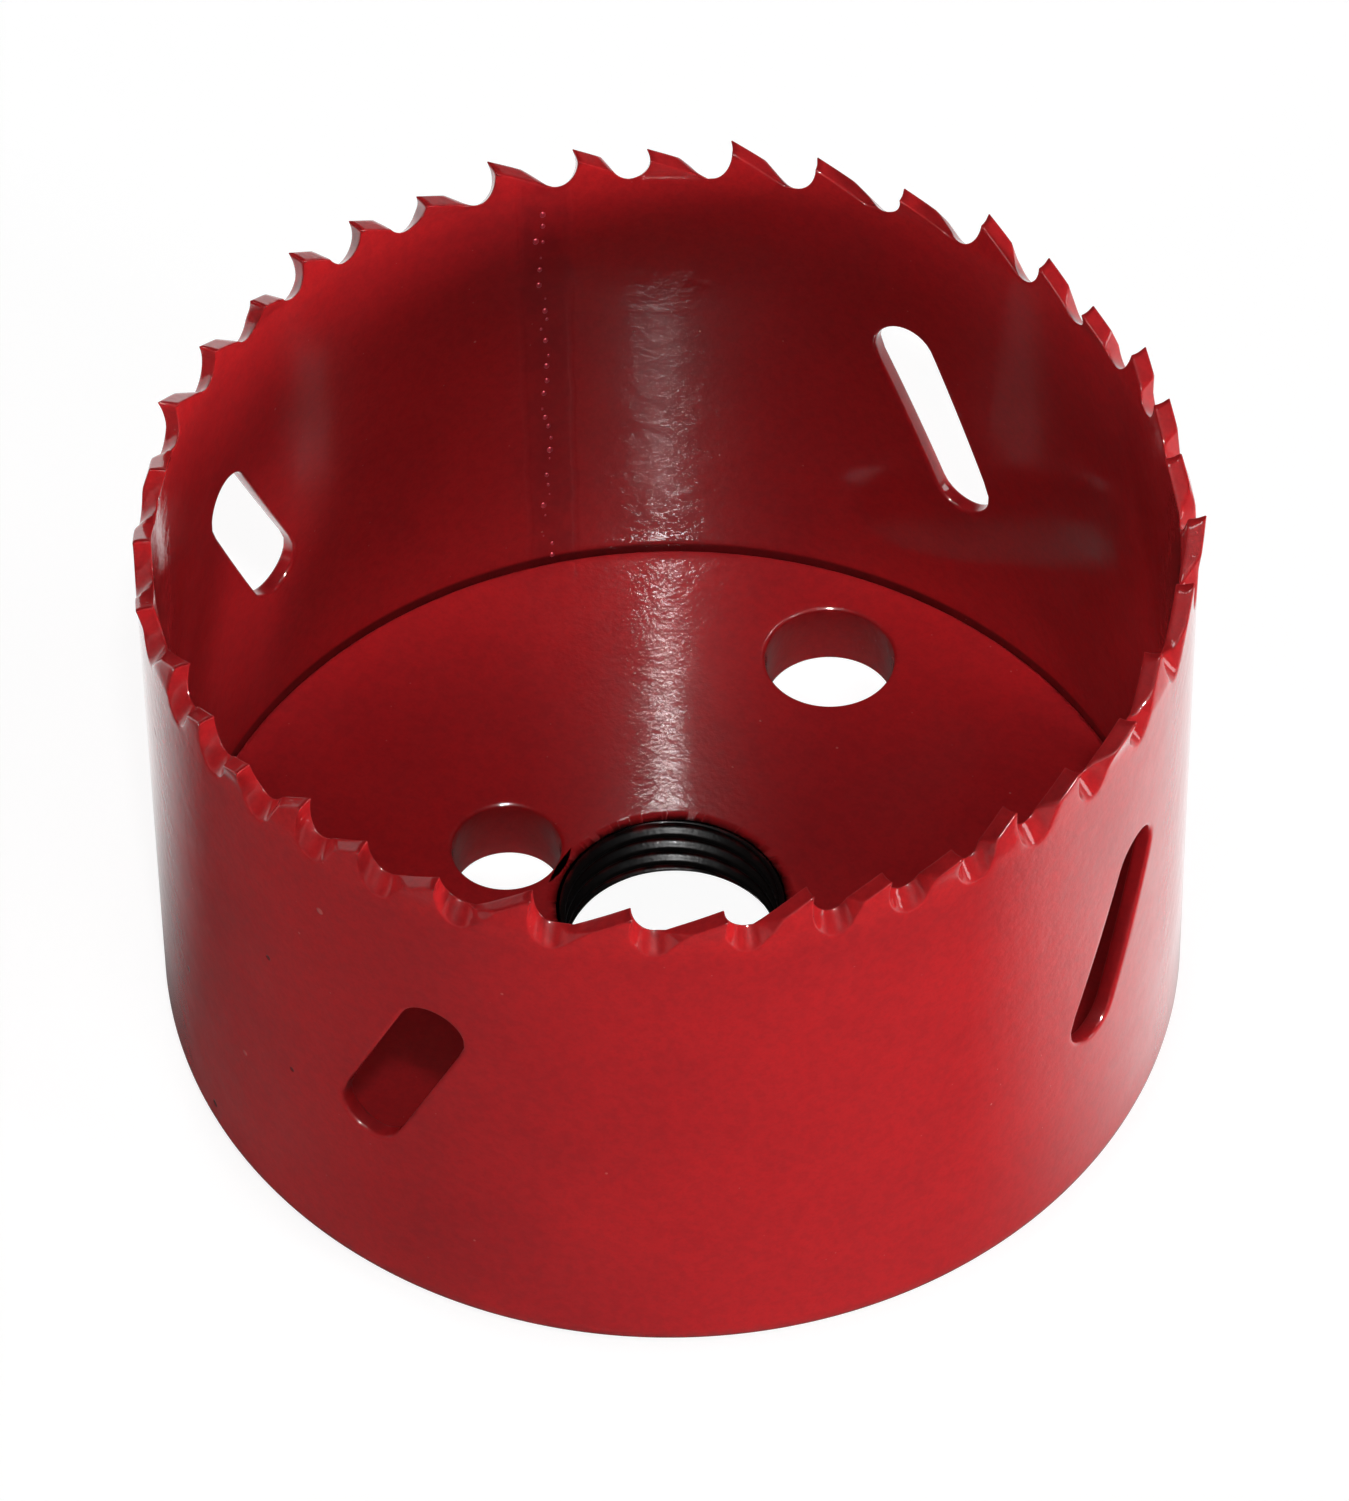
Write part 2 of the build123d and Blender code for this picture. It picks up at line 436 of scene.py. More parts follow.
def tooth_outline(sizes, pitch, depth):
    """One tooth, from the gullet floor ahead of its tip to the floor behind it.

    Runs clockwise, with the tip at zero. The gullets are slanted cylinders, so they
    stand higher at a depth below the outside of the wall; the lands are level across.
    """
    lift = cos(sizes.gullet_slant)
    climb = tan(sizes.gullet_slant)
    slope = tan(sizes.land_angle)
    top = sizes.tip_height
    floor = top - sizes.tooth_height
    crest = floor + sizes.wall_thickness * climb
    height = floor + depth * climb
    radius = sizes.gullet_radius
    ahead = -sizes.gullet_lead
    behind = pitch - sizes.gullet_lead
    run = sizes.land_share * pitch
    tip = (0.0, sizes.tooth_height * lift)
    land_end = (run, (sizes.tooth_height - run * slope) * lift)
    rake_foot = tangent_point(tip, (ahead, radius), radius, 1)
    relief_foot = tangent_point(land_end, (behind, radius), radius, -1)

    # up the rake, until it meets the land
    stretch = 1 + RAKE_OVERRUN / hypot(tip[0] - rake_foot[0], tip[1] - rake_foot[1])
    square = arc_between((ahead, 0.0), rake_foot, (ahead, radius), radius, 30)
    square += between(rake_foot, part_way(rake_foot, tip, stretch), 40)
    rake = []
    for x, rise in square:
        z = height + rise / lift
        over = z - (top - x * slope)
        if over > 0:
            last = rake[-1]
            under = (top - last[0] * slope) - last[1]
            rake.append(part_way(last, (x, z), under / (under + over)))
            break
        rake.append((x, z))
    edge = rake[-1]

    # down the land, and from where it ends down the relief to the gullet behind
    foot = behind - relief_foot[0]
    steep = (land_end[1] - relief_foot[1]) / (behind - run - foot)
    reach = max(LEAST_LAND, behind - (top - crest) / slope)

    def gullet_height(x):
        across = behind - x
        if across > foot:
            return height + (relief_foot[1] + (across - foot) * steep) / lift
        return height + (radius - sqrt(radius**2 - across**2)) / lift

    def land_height(x):
        return top - min(x, behind - reach) * slope

    corner = edge[0]
    while corner < behind - reach and gullet_height(corner) > land_height(corner):
        corner += SEARCH_STEP
    corner = min(corner, behind - reach)
    relief = []
    for i in range(61):
        x = corner + (behind - corner) * i / 60
        relief.append((x, min(gullet_height(x), land_height(x))))

    front = evenly(rake, 200)[-5]
    fall = sizes.land_angle
    back = (edge[0] + TIP_FLAT * cos(fall), edge[1] - TIP_FLAT * sin(fall))
    points = evenly([p for p in rake if p[1] < front[1]] + [front], RAKE_POINTS)
    points += [front]
    points += between(back, relief[0], LAND_POINTS)
    return points + evenly(relief, RELIEF_POINTS)


def inward_offsets(points):
    """Directions from each point of a run into the metal, mitred at the corners."""
    offsets = []
    for i, here in enumerate(points):
        before, after = points[max(i - 1, 0)], points[min(i + 1, len(points) - 1)]
        normals = []
        for a, b in ((before, here), (here, after)):
            run = hypot(b[0] - a[0], b[1] - a[1])
            if run > 1e-9:
                normals.append(((b[1] - a[1]) / run, -(b[0] - a[0]) / run))
        if len(normals) == 1:
            offsets.append((0.0, -1.0))
            continue
        (ax, ay), (bx, by) = normals
        share = 1 + ax * bx + ay * by
        offsets.append(((ax + bx) / share, (ay + by) / share))
    return offsets


def inset_run(points, inset):
    """The points of a run, moved into the metal."""
    return [
        (x + dx * inset, z + dz * inset) for (x, z), (dx, dz) in zip(points, inward_offsets(points))
    ]


def slot_ray(angle, half_straight, radius, tilt):
    """Slot outline point and its outward normal, seen from the slot's middle."""
    along, aside = cos(angle - tilt), sin(angle - tilt)
    reach = radius / abs(aside) if abs(aside) > 1e-9 else 1e9
    if abs(reach * along) <= half_straight:
        point = (reach * along, reach * aside)
        normal = (0.0, 1.0 if aside > 0 else -1.0)
    else:
        end = half_straight if along > 0 else -half_straight
        reach = along * end + sqrt((along * end) ** 2 - end**2 + radius**2)
        point = (reach * along, reach * aside)
        normal = ((point[0] - end) / radius, point[1] / radius)
    c, s = cos(tilt), sin(tilt)
    return [(x * c - y * s, x * s + y * c) for x, y in (point, normal)]


def edge_rows(radius, thickness, middle_rows=0):
    """Inset and depth of each row of the enamel over an edge, outside to inside."""
    rows = []
    for degrees in (0, 30, 60, 90):
        a = radians(degrees)
        rows.append((radius * (1 - sin(a)), radius * (1 - cos(a))))
    mirrored = [(inset, thickness - depth) for inset, depth in reversed(rows)]
    for i in range(middle_rows):
        share = (i + 1) / (middle_rows + 1)
        rows.append((0.0, radius + (thickness - 2 * radius) * share))
    return rows + mirrored


def middle_radius(sizes):
    """Radius of the middle of the strip, where its length stays the same when rolled."""
    return sizes.wall_radius - sizes.wall_thickness / 2


def strip_outline(sizes, depth):
    """The whole toothed outline of the strip at a depth below its outside.

    Distances along the strip are at its middle, so that it rolls up to the wall.
    """
    middle = middle_radius(sizes)
    shrink = middle / sizes.wall_radius
    turns = tip_turns(sizes)
    outline, starts = [], []
    for k in range(TOOTH_COUNT):
        after = (turns[(k + 1) % TOOTH_COUNT] - turns[k]) % (2 * pi)
        starts.append(len(outline))
        tooth = tooth_outline(sizes, after * sizes.wall_radius, depth)
        outline += [(turns[k] * middle + x * shrink, z) for x, z in tooth]
    outline.append((outline[0][0] + 2 * pi * middle, outline[0][1]))
    starts.append(len(outline) - 1)
    return outline, starts


def column_places(outline, starts):
    """Even columns for the plain part of the strip, tooth by tooth."""
    columns = []
    for first, last in zip(starts, starts[1:]):
        left, right = outline[first][0], outline[last][0]
        count = (last - first) // 2
        columns += [left + (right - left) * i / count for i in range(count)]
    return columns + [outline[-1][0]]


def tooth_band(sizes, outline, columns, base):
    """Faces of the band of teeth, filled from lattice points inside its outline."""
    rim = inset_run(outline, sizes.tooth_edge)
    side = [base + (rim[0][1] - base) * i / 4 for i in range(1, 4)]
    border = [(x, base) for x in columns]
    border += [(rim[-1][0], z) for z in side]
    border += reversed(rim)
    border += [(rim[0][0], z) for z in reversed(side)]

    # border points in upright strips a millimetre wide, to find the near ones
    cells = {}
    for x, z in border:
        cells.setdefault(int(x / 0.001), []).append((x, z))
    inside = []
    count = int((columns[-1] - columns[0]) / LATTICE_STEP)
    level = base + LATTICE_RISE
    row = 0
    while level < sizes.tip_height:
        for i in range(1, count):
            x = columns[0] + (i + (row % 2) / 2) * LATTICE_STEP
            cell = int(x / 0.001)
            near = cells.get(cell - 1, []) + cells.get(cell, []) + cells.get(cell + 1, [])
            if all(hypot(x - a, level - b) > LATTICE_CLEAR for a, b in near):
                inside.append((x, level))
        level += LATTICE_RISE
        row += 1
    points = [Vector((x * 1000, z * 1000)) for x, z in border + inside]
    found = delaunay_2d_cdt(points, [], [list(range(len(border)))], 1, 1e-6)
    return [[(found[0][i].x / 1000, found[0][i].y / 1000) for i in face] for face in found[2]]


def plain_rows(sizes, base, foot):
    """Heights of the rows of the plain band, from the heel to the tooth band."""
    low = sizes.slot_height - PATCH_RISE
    high = sizes.slot_height + PATCH_RISE
    rows = [foot + (low - foot) * i / FOOT_ROWS for i in range(FOOT_ROWS)]
    rows += [low + (high - low) * i / PATCH_ROWS for i in range(PATCH_ROWS)]
    return rows + [high + (base - high) * i / TOP_ROWS for i in range(TOP_ROWS + 1)]


def slot_patches(sizes, columns):
    """The middle of each slot, and the columns that its patch lies between."""

    def nearest(place):
        return min(range(len(columns)), key=lambda j: abs(columns[j] - place))

    patches = []
    for angle in sizes.slot_angles:
        centre = (sizes.weld_angle - angle) % (2 * pi) * middle_radius(sizes)
        patches.append((centre, nearest(centre - PATCH_REACH), nearest(centre + PATCH_REACH)))
    return patches


def plain_band(columns, rows, patches):
    """Faces of the plain band, with a patch left open at each slot."""
    faces = []
    for j in range(len(columns) - 1):
        patched = any(left <= j < right for _, left, right in patches)
        for i in range(len(rows) - 1):
            if patched and FOOT_ROWS <= i < FOOT_ROWS + PATCH_ROWS:
                continue
            x0, x1, z0, z1 = columns[j], columns[j + 1], rows[i], rows[i + 1]
            faces.append([(x0, z0), (x1, z0), (x1, z1), (x0, z1)])
    return faces


def slot_rings(sizes, columns, rows, patch):
    """Faces from a slot's rounded edge out to its patch, and the slot's outline."""
    centre, left, right = patch
    low, high = FOOT_ROWS, FOOT_ROWS + PATCH_ROWS
    shrink = middle_radius(sizes) / sizes.wall_radius
    radius = sizes.slot_width / 2
    half_straight = sizes.slot_length / 2 - radius
    patch_edge = [(columns[j], rows[low]) for j in range(left, right)]
    patch_edge += [(columns[right], rows[i]) for i in range(low, high)]
    patch_edge += [(columns[j], rows[high]) for j in range(right, left, -1)]
    patch_edge += [(columns[left], rows[i]) for i in range(high, low, -1)]
    edge, inset = [], []
    for x, z in patch_edge:
        angle = atan2(z - sizes.slot_height, (x - centre) / shrink)
        point, normal = slot_ray(angle, half_straight, radius, pi / 2 + sizes.slot_tilt)
        at = (centre + point[0] * shrink, sizes.slot_height + point[1])
        edge.append((at, normal))
        inset.append((at[0] + normal[0] * sizes.slot_edge, at[1] + normal[1] * sizes.slot_edge))
    rings = [
        [part_way(a, b, share) for a, b in zip(inset, patch_edge)]
        for share in (0.0, 0.05, 0.13, 0.25, 0.4, 0.6, 0.8, 1.0)
    ]
    faces = []
    for near, far in zip(rings, rings[1:]):
        for i in range(len(near)):
            n = (i + 1) % len(near)
            faces.append([near[i], far[i], far[n], near[n]])
    return faces, edge


def sheet_faces(sizes, outline, columns, foot):
    """Flat faces of one side of the strip, and the outlines of its slots."""
    base = sizes.tip_height - sizes.tooth_height - TOOTH_BAND
    rows = plain_rows(sizes, base, foot)
    patches = slot_patches(sizes, columns)
    faces = tooth_band(sizes, outline, columns, base) + plain_band(columns, rows, patches)
    slots = []
    for patch in patches:
        ringed, edge = slot_rings(sizes, columns, rows, patch)
        faces += ringed
        slots.append(edge)
    return faces, slots


def strip_mesh(sizes):
    """The flat strip: two sides, the enamelled edges between them, and the heel."""
    thickness = sizes.wall_thickness
    heel = sizes.heel_radius
    heel_turn = acos((heel - thickness) / heel)
    outside, starts = strip_outline(sizes, 0.0)
    inside, _ = strip_outline(sizes, thickness)
    columns = column_places(outside, starts)
    tooth_starts = [outside[i][0] for i in starts[:-1]]
    work = bmesh.new()

    def place(x, depth, z):
        return work.verts.new((x, thickness / 2 - depth, z))

    outer_faces, slots = sheet_faces(sizes, outside, columns, heel)
    inner_faces, _ = sheet_faces(sizes, inside, columns, heel - heel * sin(heel_turn))
    for face in outer_faces:
        work.faces.new([place(x, 0.0, z) for x, z in reversed(face)])
    for face in inner_faces:
        work.faces.new([place(x, thickness, z) for x, z in face])

    # rounded edge round the teeth
    rows = []
    for inset, depth in edge_rows(sizes.tooth_edge, thickness, 4):
        outline, _ = strip_outline(sizes, depth)
        rows.append([place(x, depth, z) for x, z in inset_run(outline, inset)])
    skin(work, rows, closed=False)

    # rounded edge round each slot
    for edge in slots:
        rows = [
            [place(x + nx * inset, depth, z + nz * inset) for (x, z), (nx, nz) in edge]
            for inset, depth in edge_rows(sizes.slot_edge, thickness)
        ]
        skin(work, rows)

    # the heel, ground round from the outside to the inside foot
    rows = []
    for step in range(9):
        a = heel_turn * step / 8
        rows.append([place(x, heel - heel * cos(a), heel - heel * sin(a)) for x in columns])
    skin(work, rows, closed=False)

    merge_doubles(work, WALL_WELD)
    tooth = work.verts.layers.int.new("tooth")
    for corner in work.verts:
        corner[tooth] = max(0, bisect.bisect(tooth_starts, corner.co.x + 1e-7) - 1)
    return made_mesh(work, "flat_strip")


def roll_tree():
    """Rolls a flat strip round the axis and sets its teeth in turn."""
    work, given, result = geometry_tree(
        "Roll Strip",
        ("Middle Radius", "Weld Angle", "Bend Start", "Tip Height", "Set Inward", "Set Outward"),
    )
    parts = work.parts(work.node("GeometryNodeInputPosition").outputs["Position"])
    turned = work.math("DIVIDE", parts["X"], given["Middle Radius"])
    angle = work.math("SUBTRACT", given["Weld Angle"], turned)
    tooth = work.node(
        "GeometryNodeInputNamedAttribute", {"data_type": "INT"}, Name="tooth"
    ).outputs["Attribute"]
    third = work.math("MODULO", tooth, 3.0)
    leans_in = work.math("COMPARE", third, 1.0, 0.1)
    leans_out = work.math("COMPARE", third, 2.0, 0.1)
    inward = work.math("MULTIPLY", leans_in, given["Set Inward"])
    outward = work.math("MULTIPLY", leans_out, given["Set Outward"])
    lean = work.math("SUBTRACT", outward, inward)
    rise = work.math("SUBTRACT", parts["Z"], given["Bend Start"])
    reach = work.math("SUBTRACT", given["Tip Height"], given["Bend Start"])
    share = work.math("DIVIDE", rise, reach, clamp=True)
    depth = work.math("ADD", parts["Y"], work.math("MULTIPLY", share, lean))
    radius = work.math("ADD", given["Middle Radius"], depth)
    moved = work.place(given["Geometry"], work.polar(radius, angle, parts["Z"]))
    joined = work.node("GeometryNodeMergeByDistance", Geometry=moved, Distance=4e-6)
    work.finish(joined.outputs["Geometry"], given["Material"], result)
    return work.tree


# ---- the back plate --------------------------------------------------------------
def ring(work, centre, radius, height, count):
    """A level circle of points."""
    turns = [2 * pi * i / count for i in range(count)]
    return [
        work.verts.new((centre[0] + radius * cos(a), centre[1] + radius * sin(a), height))
        for a in turns
    ]


def skin(work, rows, closed=True):
    """Bands of faces between rows of the same count, which may close into rings."""
    for near, far in zip(rows, rows[1:]):
        for i in range(len(near) if closed else len(near) - 1):
            n = (i + 1) % len(near)
            work.faces.new((near[i], near[n], far[n], far[i]))


def hole_rings(work, centre, radius, edge, thickness, count, steps):
    """Rings from the top face down through a hole with rounded edges to the bottom."""
    wide = radius + edge * 2.2
    rounding = [(radius + edge, 0.0)]
    for degrees in (22.5, 45, 67.5):
        a = radians(degrees)
        rounding.append((radius + edge * (1 - sin(a)), edge * (1 - cos(a))))
    profile = [(wide, thickness)] + [(r, thickness - depth) for r, depth in rounding]
    for i in range(steps + 1):
        profile.append((radius, thickness - edge + (2 * edge - thickness) * i / steps))
    profile += rounding[::-1] + [(wide, 0.0)]
    return [ring(work, centre, r, z, count) for r, z in profile]


def loop_edges(work, corners):
    """The edges of a closed loop of corners."""
    pairs = zip(corners, corners[1:] + corners[:1])
    return [work.edges.get(pair) or work.edges.new(pair) for pair in pairs]


def rim_profile(wall, sizes):
    """The plate's rim in an upright plane: top bevel, side and heel rounding."""
    thickness = PLATE_THICKNESS
    radius = PLATE_HIGH.x
    heel = wall.heel_radius
    heel_centre = wall.wall_radius - heel
    heel_start = asin(min(1.0, (radius - heel_centre) / heel))
    bevel, soft = sizes.rim_bevel, RIM_SOFT
    profile = [(radius - bevel - PLATE_MARGIN, thickness), (radius - bevel - soft, thickness)]
    profile.append((radius - bevel + soft * 0.6, thickness - soft * 0.75))
    profile.append((radius - soft * 0.6, thickness - bevel + soft * 0.5))
    profile.append((radius, thickness - bevel - soft))
    for step in range(11):
        a = heel_start * (1 - step / 10)
        profile.append((heel_centre + heel * sin(a), heel - heel * cos(a)))
    return profile + [(heel_centre - PLATE_MARGIN, 0.0)]


def plate_mesh(wall, sizes):
    """The plate with plain holes; the bore's corners carry a thread weight."""
    thickness = PLATE_THICKNESS
    work = bmesh.new()
    thread = work.verts.layers.float.new("thread")
    rim = [ring(work, (0, 0), r, z, 320) for r, z in rim_profile(wall, sizes)]
    skin(work, rim)
    tops, feet = [rim[0]], [rim[-1]]

    # drive pin holes and knock-out holes
    pin_circle = hypot(PIN_PLACE.x, PIN_PLACE.y)
    knockout = (sizes.knockout_circle_radius, sizes.knockout_radius)
    holes = []
    for half_turn in (0, pi):
        holes.append((pin_circle, PLATE_TURN + half_turn, PIN_RADIUS))
        holes.append((knockout[0], PLATE_TURN + pi / 2 + half_turn, knockout[1]))
    for circle, angle, radius in holes:
        centre = (circle * cos(angle), circle * sin(angle))
        rings = hole_rings(work, centre, radius, sizes.hole_edge, thickness, 96, 4)
        skin(work, rings)
        tops.append(rings[0])
        feet.append(rings[-1])

    # the bore, dense enough to take the thread
    rings = hole_rings(work, (0, 0), BORE_RADIUS, BORE_EDGE, thickness, 180, 84)
    skin(work, rings)
    for circle in rings[1:-1]:
        for corner in circle:
            corner[thread] = 1.0
    tops.append(ring(work, (0, 0), BORE_RADIUS + BORE_MARGIN, thickness, 180))
    feet.append(ring(work, (0, 0), BORE_RADIUS + BORE_MARGIN, 0.0, 180))
    skin(work, [tops[-1], rings[0]])
    skin(work, [rings[-1], feet[-1]])

    # the flat faces round the holes
    for loops, direction in ((tops, 1.0), (feet, -1.0)):
        edges = [edge for corners in loops for edge in loop_edges(work, corners)]
        bmesh.ops.triangle_fill(work, use_beauty=True, edges=edges, normal=(0, 0, direction))
    merge_doubles(work, PLATE_WELD)
    return made_mesh(work, "plate_blank")


def thread_tree():
    """Cuts a helical thread and its countersinks into corners that carry a weight."""
    work, given, result = geometry_tree(
        "Cut Arbor Thread", ("Bore Radius", "Pitch", "Depth", "Bevel", "Thickness")
    )
    parts = work.parts(work.node("GeometryNodeInputPosition").outputs["Position"])
    weight = work.node(
        "GeometryNodeInputNamedAttribute", {"data_type": "FLOAT"}, Name="thread"
    ).outputs["Attribute"]
    angle = work.math("ARCTAN2", parts["Y"], parts["X"])
    turns = work.math("DIVIDE", angle, 2 * pi)
    height = work.math("DIVIDE", parts["Z"], given["Pitch"])
    phase = work.math("FRACT", work.math("ADD", work.math("SUBTRACT", height, turns), 8.0))
    from_crest = work.math("ABSOLUTE", work.math("SUBTRACT", phase, 0.5))
    groove = work.math("MULTIPLY", work.ramp(from_crest, 0.08, 0.42), given["Depth"])
    threaded = work.math("ADD", given["Bore Radius"], groove)
    from_top = work.math("SUBTRACT", given["Thickness"], parts["Z"])
    from_end = work.math("MINIMUM", from_top, parts["Z"])
    rise = work.math("SUBTRACT", given["Bevel"], from_end)
    countersink = work.math("ADD", given["Bore Radius"], work.math("MAXIMUM", rise, 0.0))
    wanted = work.math("SMOOTH_MAX", threaded, countersink, 0.0001)
    here = work.vector_math("LENGTH", work.vector(parts["X"], parts["Y"], 0.0))["Value"]
    spread = work.math("SUBTRACT", here, given["Bore Radius"])
    target = work.math("ADD", wanted, spread)
    growth = work.math("SUBTRACT", work.math("DIVIDE", target, here), 1.0)
    scale = work.math("ADD", 1.0, work.math("MULTIPLY", growth, weight))
    across = work.math("MULTIPLY", parts["X"], scale)
    along = work.math("MULTIPLY", parts["Y"], scale)
    moved = work.place(given["Geometry"], work.vector(across, along, parts["Z"]))
    work.finish(moved, given["Material"], result)
    return work.tree


# ---- the bead of the butt weld ---------------------------------------------------
def bead_tree():
    """Scatters small welded drops along a line and lays them on the wall's inside."""
    work, given, result = geometry_tree(
        "Scatter Bead",
        ("Spread", "Smallest", "Largest", "Inside Radius"),
        ints=("Drops", "Seed"),
        vectors=("Line Start", "Line End"),
    )
    line = work.node(
        "GeometryNodeMeshLine",
        {"mode": "END_POINTS"},
        Count=given["Drops"],
        Start_Location=given["Line Start"],
        Offset=given["Line End"],
    )
    wander = work.node(
        "FunctionNodeRandomValue",
        {"data_type": "FLOAT_VECTOR"},
        in_0=work.vector(-1.0, 0.0, -1.0),
        in_1=work.vector(1.0, 0.0, 1.0),
        Seed=given["Seed"],
    ).outputs[0]
    away = work.vector_math("ABSOLUTE", wander)["Vector"]
    squared = work.vector_math("MULTIPLY", wander, away)["Vector"]
    shift = work.node(
        "ShaderNodeVectorMath", {"operation": "SCALE"}, in_0=squared, Scale=given["Spread"]
    )
    scattered = work.node(
        "GeometryNodeSetPosition",
        Geometry=line.outputs["Mesh"],
        Offset=shift.outputs["Vector"],
    )
    drop = work.node("GeometryNodeMeshIcoSphere", Radius=1.0, Subdivisions=2)
    size = work.node(
        "FunctionNodeRandomValue",
        {"data_type": "FLOAT"},
        in_2=given["Smallest"],
        in_3=given["Largest"],
        Seed=given["Seed"],
    ).outputs[1]
    flat, tall = work.math("MULTIPLY", size, 0.45), work.math("MULTIPLY", size, 1.35)
    drops = work.node(
        "GeometryNodeInstanceOnPoints",
        Points=scattered.outputs["Geometry"],
        Instance=drop.outputs["Mesh"],
        Scale=work.vector(size, flat, tall),
    )
    solid = work.node("GeometryNodeRealizeInstances", Geometry=drops.outputs["Instances"])
    parts = work.parts(work.node("GeometryNodeInputPosition").outputs["Position"])
    angle = work.math("DIVIDE", parts["X"], given["Inside Radius"])
    radius = work.math("SUBTRACT", given["Inside Radius"], parts["Y"])
    laid = work.place(solid.outputs["Geometry"], work.polar(radius, angle, parts["Z"]))
    smooth = work.node("GeometryNodeSetShadeSmooth", Geometry=laid)
    work.finish(smooth.outputs["Geometry"], given["Material"], result)
    return work.tree


# ---- enamel ------------------------------------------------------------------------
class Enamel(Tree):
    """Stoved red enamel under construction: orange peel, pooled tone, nibs and gloss."""

    def __init__(self, name, finish):
        self.material = bpy.data.materials.new(name)
        self.material.use_nodes = True
        super().__init__(self.material.node_tree)
        self.shader = self.tree.nodes["Principled BSDF"].inputs
        self.finish = finish
        self.at = self.node("ShaderNodeTexCoord").outputs["Object"]
        x, y, self.height = self.parts(self.at)
        self.radius = self.vector_math("LENGTH", self.vector(x, y, 0.0))["Value"]
        self.angle = self.math("ARCTAN2", y, x)
        self.black = (*finish.black_oxide_and_shade, 1.0)
        self.deep = (*finish.enamel_deep, 1.0)
        self.pale = (*finish.nib_colour, 1.0)
        self.tone = (*finish.enamel, 1.0)
        self.wave = 0.0

    def noise(self, size, detail=2.0, rough=0.5):
        """Noise whose waves are about the given size in metres."""
        return self.node(
            "ShaderNodeTexNoise",
            Vector=self.at,
            Scale=1.0 / size,
            Detail=detail,
            Roughness=rough,
        ).outputs["Fac"]

    def tint(self, share, tone):
        """Mixes a colour over the tone by a share."""
        mix = self.node("ShaderNodeMix", {"data_type": "RGBA"}, in_0=share)
        self.fill(mix.inputs[6], self.tone)
        self.fill(mix.inputs[7], tone)
        self.tone = mix.outputs[2]

    def lift(self, height, amount):
        """Adds a height to the wave that the bump follows."""
        self.wave = self.math("ADD", self.wave, self.math("MULTIPLY", height, amount))

    def mark(self, angle, height, size, radius, tone, strength, rise):
        """One round mark on the outside of the wall, soft at its edge."""
        a = radians(angle)
        at = (radius * cos(a), radius * sin(a), height / 1000)
        far = self.vector_math("DISTANCE", self.at, at)["Value"]
        ragged = self.math("MULTIPLY", self.noise(0.0005), size / 1000)
        spot = self.ramp(self.math("ADD", far, ragged), size / 1000, size / 700, 1.0, 0.0)
        self.tint(self.math("MULTIPLY", spot, strength), tone)
        self.lift(spot, rise)

    def nibs(self, cell, share, size, strength):
        """A few tiny pale points, each in a cell of its own."""
        cells = self.node("ShaderNodeTexVoronoi", {"feature": "F1"}, Vector=self.at, Scale=1 / cell)
        chosen = self.node("ShaderNodeSeparateColor", Color=cells.outputs["Color"])
        few = self.math("GREATER_THAN", chosen.outputs["Red"], share)
        near = self.ramp(cells.outputs["Distance"], size / 2, size, 1.0, 0.0)
        points = self.math("MULTIPLY", few, near)
        self.tint(self.math("MULTIPLY", points, strength * 0.6), self.pale)
        self.lift(points, 0.9 * strength)

    def finish_off(self, swell, peel, grit):
        """The parts every surface has, and the links to the shader."""
        # tone: broad pooling, fine mottle and a fine grain
        pooling = self.ramp(self.noise(0.012, 3.0), 0.35, 0.75, 0.0, 0.26)
        mottle = self.ramp(self.noise(0.0007), 0.35, 0.7, 0.0, 0.22)
        self.tint(self.math("ADD", pooling, mottle, clamp=True), self.deep)
        self.tint(self.ramp(self.noise(0.00026, 2.0, 0.7), 0.40, 0.72, 0.0, 0.22), self.deep)
        self.nibs(cell=0.0030, share=0.66, size=0.040, strength=0.85)
        self.nibs(cell=0.0013, share=0.74, size=0.060, strength=0.45)
        self.fill(self.shader["Base Color"], self.tone)

        # orange peel, and fine roughness that breaks up the gloss
        self.lift(self.noise(0.006, 1.0, 0.4), swell)
        self.lift(self.noise(self.finish.peel_size, 1.5, 0.4), peel)
        self.lift(self.noise(0.00036, 2.0, 0.6), grit)
        bump = self.node(
            "ShaderNodeBump", Height=self.wave, Strength=1.0, Distance=0.000042
        ).outputs["Normal"]
        self.fill(self.shader["Normal"], bump)
        self.fill(self.shader["Coat Normal"], bump)
        rough = self.ramp(self.noise(0.004, 3.0), 0.3, 0.7, 0.30, 0.40)
        self.fill(self.shader["Roughness"], rough)
        self.fill(self.shader["Specular IOR Level"], 0.04)
        self.fill(self.shader["Coat Weight"], 1.0)
        self.fill(self.shader["Coat Roughness"], 0.05)
        self.fill(self.shader["Coat IOR"], 1.5)

    def blacken(self, soot):
        """Takes the colour and the gloss away where the steel is bare and blackened."""
        self.tint(soot, self.black)
        self.fill(self.shader["Base Color"], self.tone)
        self.fill(self.shader["Coat Weight"], self.math("SUBTRACT", 1.0, soot))


